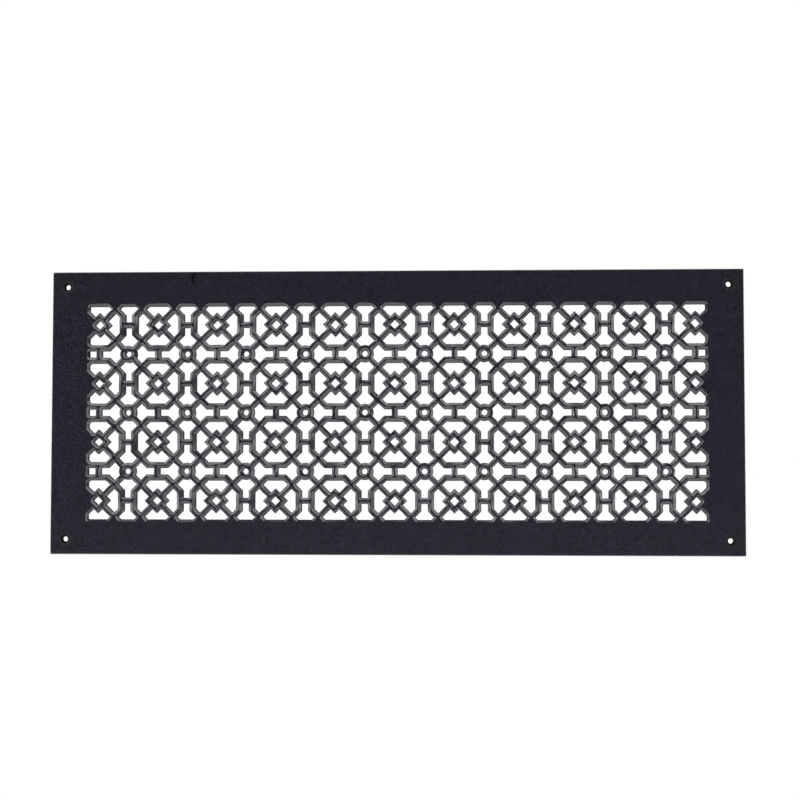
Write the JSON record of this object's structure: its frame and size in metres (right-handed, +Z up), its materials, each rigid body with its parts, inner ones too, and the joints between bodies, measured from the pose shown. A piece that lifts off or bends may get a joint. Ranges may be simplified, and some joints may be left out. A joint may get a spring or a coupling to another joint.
{
  "type": "return air grille",
  "caption": "Flat cast return air grille: a plain border with countersunk corner holes round an open lattice of octagon straps, pierced square rosettes and round bosses.",
  "frame": {"origin": "centre of the flat back face, on the wall plane", "axes": "+X along the grille's length, +Z up its height, +Y out of the back into the wall; the face looks along -Y"},
  "size_m": [0.6032, 0.0063, 0.2476],
  "materials": {
    "powder_coat": "black powder coat, satin, over a sand casting"
  },
  "bodies": {
    "root": {"grille_casting": "powder_coat"}
  },
  "joints": []
}
